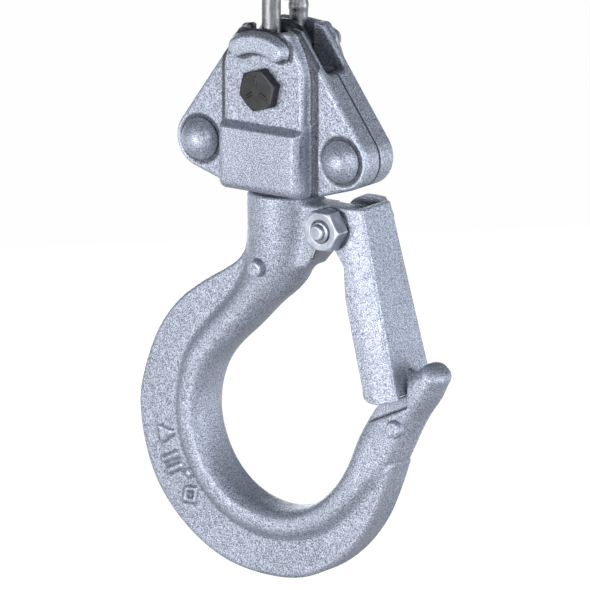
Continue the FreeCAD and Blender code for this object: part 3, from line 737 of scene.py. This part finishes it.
def chain_bolt(x, y, z):
    """The chain pin, its head marked with three generic dashes."""
    head_face = PANEL_Y + 2.9
    head = hex_piece(x, -y, z, (0, 0), 13, PANEL_Y, head_face, 10.3)
    for k in range(3):
        angle = radians(93 + 120 * k)
        u = x * cos(angle) + z * sin(angle)
        v = -x * sin(angle) + z * cos(angle)
        dash = both(both(np.abs(u - 2.6) - 1.2, np.abs(v) - 0.3), -y - head_face - 0.25)
        head = either(head, both(dash, y + PANEL_Y + 2.5), 0.15)
    shank = rod(x, y, z, BOLT_R, -PANEL_Y - 0.5, 9.0)
    tail = both(thread(x, y, z, (0, 0), BOLT_R), np.maximum(y - 16.4, 8.0 - y), 0.4)
    return either(either(head, shank), tail)


def washer(x, y, z):
    """A plain washer under the chain bolt's nut."""
    return less(rod(x, y, z, 5.2, PANEL_Y, PANEL_Y + 1.0, edge=0.2), length(x, z) - 3.05)


def chain_nut(x, y, z):
    """The hexagon nut at the back of the chain bolt."""
    nut = hex_piece(x, y, z, (0, 0), 10, PANEL_Y + 1.0, PANEL_Y + 5.6)
    return less(nut, length(x, z) - 2.97, 0.4)


def latch_bolt(x, y, z):
    """The latch's pivot: head at the rear, thread and turned-down point at the front."""
    centre = (PIVOT.x, PIVOT.z)
    head = hex_piece(x, y, z, centre, 30, 8.5, 12.5)
    shank = rod(x, y, z, LATCH_BOLT_R, -9.0, 9.0, centre)
    tail = both(thread(x, y, z, centre, LATCH_BOLT_R), np.maximum(-13.8 - y, y + 8.0), 0.5)
    point = rod(x, y, z, 1.95, -15.2, -9.0, centre, 0.4)
    return either(either(head, shank), either(tail, point, 0.2))


def latch_nut(x, y, z):
    """The nut on the front end of the latch bolt."""
    centre = (PIVOT.x, PIVOT.z)
    nut = hex_piece(x, -y, z, centre, 30, 8.5, 13.2)
    return less(nut, length(x - centre[0], z - centre[1]) - 2.92, 0.45)


mesh_piece("chain_bolt_head", chain_bolt, (-6, -13.2, -6), (6, 16.5, 6), 0.16, BLACK, "yoke",
           "chain_bolt")
mesh_piece("chain_bolt_washer_ring", washer, (-5.4, 9.7, -5.4), (5.4, 10.9, 5.4), 0.16, BLACK,
           "yoke", "chain_bolt_washer")
mesh_piece("chain_bolt_nut_hex", chain_nut, (-6, 10.7, -6), (6, 15.5, 6), 0.16, BLACK, "yoke",
           "chain_bolt_nut")
mesh_piece("latch_bolt_steel", latch_bolt, (PIVOT.x - 6, -15.3, PIVOT.z - 6),
           (PIVOT.x + 6, 12.6, PIVOT.z + 6), 0.17, ZINC, "hook", "latch_bolt")
mesh_piece("latch_nut_hex", latch_nut, (PIVOT.x - 6, -13.3, PIVOT.z - 6),
           (PIVOT.x + 6, -8.4, PIVOT.z + 6), 0.16, ZINC, "hook", "latch_nut")


# ---------------------------------------------------------------- chain

LINK_PITCH, LINK_FIRST = 14.95, 4.5
WIRE_R, LINK_RING_R, LINK_STRAIGHT = 2.5, 6.0, 4.0


def chain_link(centre_z, crosswise):
    """A round-wire link with its butt weld as a faint swelling on one leg."""

    def field(x, y, z):
        wide, deep = (y, x) if crosswise else (x, y)
        leg = np.clip(z - centre_z, -LINK_STRAIGHT, LINK_STRAIGHT)
        ring = length(wide, z - centre_z - leg) - LINK_RING_R
        weld = np.where(wide > 0, 0.18 * np.exp(-((z - centre_z) / 0.9) ** 2), 0.0)
        return length(ring, deep) - WIRE_R - weld

    return field


for index, (link, body) in enumerate((("end_link", "end_link"), ("chain_link_2", "middle_link"),
                                      ("chain_link_3", "top_link"))):
    middle = LINK_FIRST + LINK_PITCH * index
    crosswise = index == 1
    half_x, half_y = (2.8, 8.8) if crosswise else (8.8, 2.8)
    mesh_piece(f"{link}_wire", chain_link(middle, crosswise), (-half_x, -half_y, middle - 12.6),
               (half_x, half_y, middle + 12.6), 0.22, CHAIN, body, link)


# ---------------------------------------------------------------- carried-over pieces

for node, material in (("hook_nut", ZINC), ("hook_nut_pin", BEARING), ("race_upper", BEARING),
                       ("race_lower", BEARING), ("bearing_balls", BEARING), ("ball_cage", BRASS),
                       ("latch_bush", ZINC), ("latch_spring_front", SPRING),
                       ("latch_spring_rear", SPRING)):
    mesh = frame["nodes"][node].data
    mesh.materials.clear()
    mesh.materials.append(material)


# ---------------------------------------------------------------- stage, light and camera

AZIMUTH, ELEVATION = radians(36), radians(14)
RIGHT = Vector((cos(AZIMUTH), sin(AZIMUTH), 0))
BACK = Vector((sin(AZIMUTH) * cos(ELEVATION), -cos(AZIMUTH) * cos(ELEVATION), sin(ELEVATION)))
UP = BACK.cross(RIGHT)

floor_mesh = bpy.data.meshes.new("floor")
reach, height = 12.0, cad_low.z - 0.25
floor_mesh.from_pydata([(sx * reach, sy * reach, 0) for sx, sy in
                        ((-1, -1), (1, -1), (1, 1), (-1, 1))], [], [(0, 1, 2, 3)])
floor = bpy.data.objects.new("floor", floor_mesh)
floor.location.z = height
bpy.context.scene.collection.objects.link(floor)
pale, nodes, links, shader, place = node_material("pale_floor")
shader.inputs["Base Color"].default_value = (0.03, 0.03, 0.03, 1)
shader.inputs["Roughness"].default_value = 0.95
shader.inputs["Emission Color"].default_value = (1, 1, 1, 1)
# Painted shadow: the floor glows at 0.98 beyond 0.8 m from its middle and fades to 0.3 within 0.4 m, so it
# is darker under the block.
painted_shadow_glow = nodes.new("ShaderNodeMapRange")
painted_shadow_glow.inputs["From Min"].default_value, painted_shadow_glow.inputs["From Max"].default_value = 0.4, 0.8
painted_shadow_glow.inputs["To Min"].default_value, painted_shadow_glow.inputs["To Max"].default_value = 0.3, 0.98
distance = nodes.new("ShaderNodeVectorMath")
distance.operation = "LENGTH"
links.new(place.outputs["Object"], distance.inputs[0])
links.new(distance.outputs["Value"], painted_shadow_glow.inputs["Value"])
links.new(painted_shadow_glow.outputs["Result"], shader.inputs["Emission Strength"])
floor_mesh.materials.append(pale)


def area_light(name, azimuth, elevation, distance, size, power, colour=(1, 1, 1)):
    """A square soft box aimed at the middle of the block."""
    middle = (cad_low + cad_high) / 2
    a, e = radians(azimuth), radians(elevation)
    away = Vector((sin(a) * cos(e), -cos(a) * cos(e), sin(e)))
    data = bpy.data.lights.new(name, "AREA")
    data.shape, data.size, data.energy, data.color = "SQUARE", size, power, colour
    light = bpy.data.objects.new(name, data)
    light.location = middle + away * distance
    light.rotation_mode = "QUATERNION"
    light.rotation_quaternion = (-away).to_track_quat("-Z", "Y")
    bpy.context.scene.collection.objects.link(light)


area_light("key", -6, -2, 1.2, 0.9, 13, (1.0, 0.985, 0.98))
area_light("side", 112, 4, 1.2, 0.6, 6, (0.93, 0.97, 1.0))
area_light("fill", 62, 20, 1.4, 0.8, 8, (0.96, 0.98, 1.0))
area_light("back", 225, -4, 1.4, 0.9, 8, (0.93, 0.97, 1.0))

world = bpy.data.worlds.new("studio")
bpy.context.scene.world = world
world.use_nodes = True
world_nodes, world_links = world.node_tree.nodes, world.node_tree.links
direction = world_nodes.new("ShaderNodeTexCoord")
split = world_nodes.new("ShaderNodeSeparateXYZ")
fade = world_nodes.new("ShaderNodeValToRGB")
fade.color_ramp.elements[0].position, fade.color_ramp.elements[0].color = 0.05, (0.9, 0.93, 1.0, 1)
fade.color_ramp.elements[1].position, fade.color_ramp.elements[1].color = 0.6, (0.12, 0.15, 0.17, 1)
world_links.new(direction.outputs["Generated"], split.inputs[0])
world_links.new(split.outputs["Z"], fade.inputs["Fac"])
world_links.new(fade.outputs["Color"], world_nodes["Background"].inputs["Color"])
world_nodes["Background"].inputs["Strength"].default_value = 0.3

FRAME_MM, SENSOR_MM, DISTANCE = 153.247, 36.0, 3.0
AIM_ACROSS, AIM_UP = 2.62, -55.3
camera_data = bpy.data.cameras.new("camera")
camera_data.sensor_width = SENSOR_MM
camera_data.lens = SENSOR_MM * (DISTANCE / MM) / FRAME_MM
camera_data.clip_end = 100
camera = bpy.data.objects.new("camera", camera_data)
aim = PIN + RIGHT * (AIM_ACROSS * MM) + UP * (AIM_UP * MM)
camera.location = aim + BACK * DISTANCE
camera.rotation_mode = "QUATERNION"
camera.rotation_quaternion = (-BACK).to_track_quat("-Z", "Y")
bpy.context.scene.collection.objects.link(camera)
bpy.context.scene.camera = camera
bpy.context.scene.view_settings.view_transform = "Standard"
